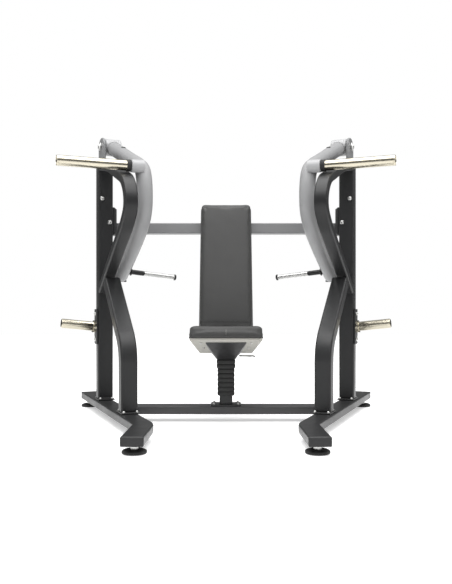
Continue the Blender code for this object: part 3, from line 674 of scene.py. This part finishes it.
for hand in ("left", "right"):
    m = 1 if hand == "right" else -1
    body = "press_arm_" + hand
    side_n = sdir(hand, 0, 1, 0)
    path = catmull([so(hand, s, ARM_O, z) for s, z in ARM_CORNERS], 6)
    bm = bmesh.new()
    circle = [(ARM_R * math.cos(2 * math.pi * k / 40), ARM_R * math.sin(2 * math.pi * k / 40))
              for k in range(40)]
    sweep(bm, path, circle, side_n)
    arm = add("arm_tube_" + hand, bm, M["arm_graphite"], body, 50)
    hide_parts("press_arm_" + hand)
    done.add("press_arm_" + hand)
    # hub: a machined sleeve with relieved faces
    hub_c = so(hand, PIVOT_S, ARM_O - 0.043, PIVOT_Z)
    turned("arm_hub_" + hand,
           [(0.0224, 0.0), (0.044, 0.0), (0.0468, 0.0028), (0.0468, 0.0832), (0.044, 0.086),
            (0.0224, 0.086), (0.0224, 0.0)], hub_c, side_n, M["arm_graphite"], body,
           56, 30)
    # boss for the horn
    boss_c = so(hand, HORN_S, 0.0185, HORN_Z)
    turned("horn_boss_" + hand,
           [(0.0, 0.0), (0.0285, 0.0), (0.0308, 0.0022), (0.0308, 0.0610), (0.0290, 0.0620),
            (0.0, 0.0620)], boss_c, side_n, M["arm_graphite"], body, 48, 30)
    weld_ring("hub_weld_" + hand, so(hand, PIVOT_S - 0.046, ARM_O, PIVOT_Z - 0.016),
              sdir(hand, -0.94, 0, -0.33), ARM_R + 0.0005, body, M["arm_graphite"], 0.0030)
    # domed end of the tube, welded in and dressed smooth
    ed = Vector((0.484 - 0.370, 0.737 - 0.797)).normalized()
    dome = turned("arm_end_dome_" + hand,
                  [(0.0, 0.0002), (0.0370, 0.0002), (0.0380, 0.0012), (0.0374, 0.0038), (0.0350, 0.0068),
                   (0.0300, 0.0094), (0.0220, 0.0111), (0.0120, 0.0119), (0.0, 0.0121)],
                  so(hand, 0.484, ARM_O, 0.737), sdir(hand, ed.x, 0, ed.y), M["arm_graphite"],
                  body, 48, 60)
    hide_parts("arm_end_plug_" + hand)
    done.add("arm_end_plug_" + hand)
    # a blanking plug on the tube's top and a small latch pin near its lower end
    tube_n = sdir(hand, -0.28, 0, 0.96)
    turned("arm_top_plug_" + hand,
           [(0.0, 0.0), (0.0105, 0.0), (0.0115, 0.0015), (0.0105, 0.0036), (0.0060, 0.0048), (0.0, 0.0050)],
           so(hand, 0.440, ARM_O, 1.3722) + tube_n * 0.0372, tube_n, M["plastic"], body, 32, 30)
    turned("arm_latch_pin_" + hand,
           [(0.0, -0.006), (0.0065, -0.004), (0.0065, 0.0080), (0.0090, 0.0085), (0.0090, 0.0120),
            (0.0075, 0.0135), (0.0, 0.0138)],
           so(hand, 0.400, ARM_O - ARM_R + 0.001, 0.781), -side_n, M["steel"], body, 28, 30)

    # handle: dark bar, knurled steel grip and turned end collar
    hd = sdir(hand, 0, 1, 0)
    hd = Vector((hd.x * math.cos(math.radians(6.2)), hd.y * math.cos(math.radians(6.2)),
                 -math.sin(math.radians(6.2))))
    h0 = so(hand, 0.440, ARM_O + 0.0405, 0.7545)
    bar = turned("handle_bar_finish_" + hand,
                 [(0.0, 0.0), (0.0190, 0.0), (0.0200, 0.0010), (0.0200, 0.0045), (0.0185, 0.006),
                  (0.0130, 0.0068), (0.0130, 0.0712), (0.0122, 0.0725), (0.0085, 0.0735),
                  (0.0085, 0.2450), (0.0155, 0.2450), (0.0160, 0.2456), (0.0160, 0.2508),
                  (0.0135, 0.2538), (0.0060, 0.2540), (0.0052, 0.2526), (0.0, 0.2526)],
                 h0, hd, M["frame_black"], body, 40, 35)
    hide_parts("handle_bar_" + hand)
    done.add("handle_bar_" + hand)
    # fine knurling between two plain ends
    prof = [(0.0089, 0.0), (0.0116, 0.0), (0.0125, 0.0010), (0.0125, 0.0090)]
    for k in range(67):
        h = 0.010 + k * 0.0022
        prof += [(0.01222, h), (0.0125, h + 0.0008), (0.01222, h + 0.0016)]
    prof += [(0.0125, 0.1590), (0.0125, 0.1680), (0.0116, 0.1690), (0.0089, 0.1690), (0.0089, 0.0)]
    grip = turned("handle_grip_finish_" + hand, prof, h0 + hd * 0.0754, hd, M["steel"], body,
                  36, 20)
    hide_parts("handle_grip_" + hand)
    done.add("handle_grip_" + hand)

    # weight horn: chrome tube with a rolled end and a collar groove
    hn = -side_n
    root_o = 0.0185 - 0.0004 - 0.022 - 0.0004
    horn = turned("weight_horn_finish_" + hand,
                  [(0.0, 0.0), (0.0245, 0.0), (0.0245, 0.3125), (0.0238, 0.3132), (0.0238, 0.3150),
                   (0.0245, 0.3157), (0.0245, 0.3190), (0.0236, 0.3212), (0.0222, 0.3220),
                   (0.0205, 0.3220), (0.0198, 0.3200), (0.0, 0.3200)],
                  so(hand, HORN_S, root_o, HORN_Z), hn, M["chrome"], body, 64, 30)
    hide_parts("weight_horn_" + hand)
    done.add("weight_horn_" + hand)
    collar = turned("horn_collar_finish_" + hand,
                    [(0.0, 0.0), (0.0262, 0.0), (0.0280, 0.0012), (0.0285, 0.003), (0.0285, 0.0080),
                     (0.0272, 0.0092), (0.0272, 0.0128), (0.0285, 0.0140), (0.0285, 0.0190),
                     (0.0275, 0.0212), (0.0262, 0.022), (0.0, 0.022)],
                    so(hand, HORN_S, 0.0181, HORN_Z), hn, M["rubber"], body, 48, 30)
    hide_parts("horn_collar_" + hand)
    done.add("horn_collar_" + hand)

    # bow tube with true round corners
    bpath = catmull([so(hand, s, -0.009, z) for s, z in BOW_CORNERS], 6)
    bm = bmesh.new()
    sweep(bm, bpath, box_section(0.062, 0.044, 0.009), side_n)
    bow = add("bow_tube_finish_" + hand, bm, M["frame_black"], "frame", 50)
    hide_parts("bow_tube_" + hand)
    done.add("bow_tube_" + hand)

    # bolts through the rear post, on the foot plates and on the storage flange
    back = sdir(hand, -1, 0, 0)
    face = POST_S - TUBE_T / 2
    for tag, o, z in (("upper", -0.018, 1.140), ("lower", 0.022, 1.016)):
        bolt("post_bolt_%s_%s" % (tag, hand), so(hand, face, o, z), back, "frame", 0.0105, 0.0085, 0.0115)
    for tag, s0 in (("front", 0.0), ("rear", POST_S)):
        for i, ds in enumerate((-0.044, 0.044)):
            for j, o in enumerate((-0.031, 0.031)):
                bolt("%s_plate_bolt_%d%d_%s" % (tag, i, j, hand),
                     so(hand, s0 + ds, o, RAIL_TOP + 0.0084), (0, 0, 1), "frame", 0.0065, 0.0055, 0.0088)
    for tag, dz in (("upper", 0.068), ("lower", -0.068)):
        bolt("flange_bolt_%s_%s" % (tag, hand),
             so(hand, POST_S, -(TUBE_W / 2 + 0.0084), STORE_Z + dz), -side_n, "frame", 0.0075, 0.0060, 0.0105)
    # hexagon nut on the outer end of the pivot shaft
    turned("pivot_nut_" + hand,
           [(0.0, 0.0), (0.0215, 0.0), (0.0230, 0.0015), (0.0230, 0.0085), (0.0215, 0.010),
            (0.0150, 0.010), (0.0135, 0.0145), (0.0, 0.0150)],
           so(hand, PIVOT_S, 0.0229, PIVOT_Z), -side_n, M["steel"], "frame", 6, 25)

# ---------------------------------------------------------- bellows and screws
done.add("seat_bellows")
bm = bmesh.new()
z_top, z_low, folds = 0.3080, 0.1270, 8
pitch = (z_top - z_low) / folds
levels = []
for k in range(folds):
    grow = 0.004 if k < 2 else 0.0
    zt = z_top - k * pitch
    for f, e in ((0.02, 0.0395), (0.10, 0.0410), (0.20, 0.0422), (0.32, 0.0425), (0.62, 0.0425),
                 (0.74, 0.0420), (0.84, 0.0402), (0.92, 0.0388)):
        levels.append((zt - pitch * f, e + grow))
rings = []
for z, half in levels:
    r = 0.010
    ring = [bm.verts.new((x, y + LOW_Y, z)) for x, y in box_section(2 * half, 2 * half, r, 4)]
    rings.append(ring)
inner = [[bm.verts.new((x, y + LOW_Y, z)) for x, y in box_section(0.070, 0.070, 0.004, 4)]
         for z in (levels[-1][0], levels[0][0])]
rings += inner
k = len(rings[0])
for a, b in zip(rings, rings[1:] + rings[:1]):
    for j in range(k):
        bm.faces.new((a[j], a[(j + 1) % k], b[(j + 1) % k], b[j]))
bmesh.ops.recalc_face_normals(bm, faces=bm.faces[:])
bell = add("seat_bellows_finish", bm, M["rubber"], None, 60)
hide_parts("seat_bellows")
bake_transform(bell)

for i, (x, d) in enumerate(((-0.118, 0.075), (0.118, 0.075), (-0.108, 0.190), (0.108, 0.190))):
    c = seat_m @ Vector((x, d, -0.0128))
    bolt("seat_screw_%d" % i, c, (seat_m.to_3x3() @ Vector((0, 0, -1))), "seat", 0.0050, 0.0030, 0.0075)
for i, x in enumerate((-0.060, 0.060)):
    for j, dy in enumerate((-0.032, 0.032)):
        bolt("seat_post_bolt_%d%d" % (i, j), (x, LOW_Y + dy, RAIL_TOP + 0.0084), (0, 0, 1), "frame",
             0.0070, 0.0060, 0.0100)

# -------------------------------------------- every other CAD piece, refinished
KEY = {"lower_crossbar": "low_grey"}
for node in sorted(NODES):
    if node in done:
        continue
    key = KEY.get(node, NODE_SLOT[node])
    finish_node(node, key)

# ------------------------------------------------------------------ the floor
bm = bmesh.new()
bmesh.ops.create_grid(bm, x_segments=2, y_segments=2, size=9.0)
mesh = bpy.data.meshes.new("floor")
bm.to_mesh(mesh)
bm.free()
floor = bpy.data.objects.new("floor", mesh)
SCENE.collection.objects.link(floor)
floor.location = (0, 0, -0.0005)
fmat, fnt, fb = principled("pale_floor", (0.90, 0.90, 0.90), 0.6, 0.0, 0.2)
fb.inputs["Emission Color"].default_value = (1.0, 1.0, 1.0, 1.0)
fb.inputs["Emission Strength"].default_value = 0.42
mesh.materials.append(fmat)
